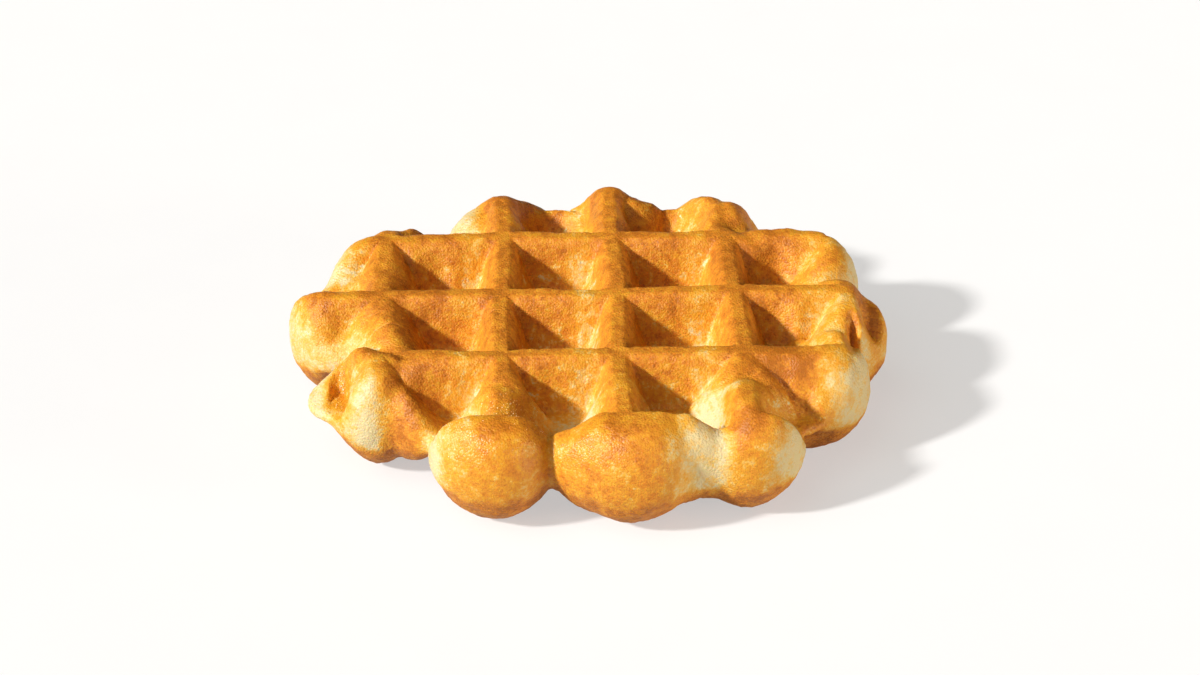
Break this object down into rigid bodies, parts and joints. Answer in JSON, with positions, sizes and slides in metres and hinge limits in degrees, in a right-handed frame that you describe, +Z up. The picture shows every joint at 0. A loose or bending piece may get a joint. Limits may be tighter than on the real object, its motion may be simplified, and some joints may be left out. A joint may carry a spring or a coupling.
{
  "type": "waffle",
  "caption": "Thick oval yeast waffle with deep square pockets on both sides and a lobed, swollen free edge.",
  "frame": {"origin": "middle of the footprint, at the height of the lower ridge tops", "axes": "+Z up out of the upper pockets; +X along the waffle's long side; -Y towards the side with three joined lobes"},
  "size_m": [0.1246, 0.1094, 0.0242],
  "materials": {
    "crust": "baked crust, satin"
  },
  "bodies": {
    "root": {"waffle": "crust"}
  },
  "joints": []
}
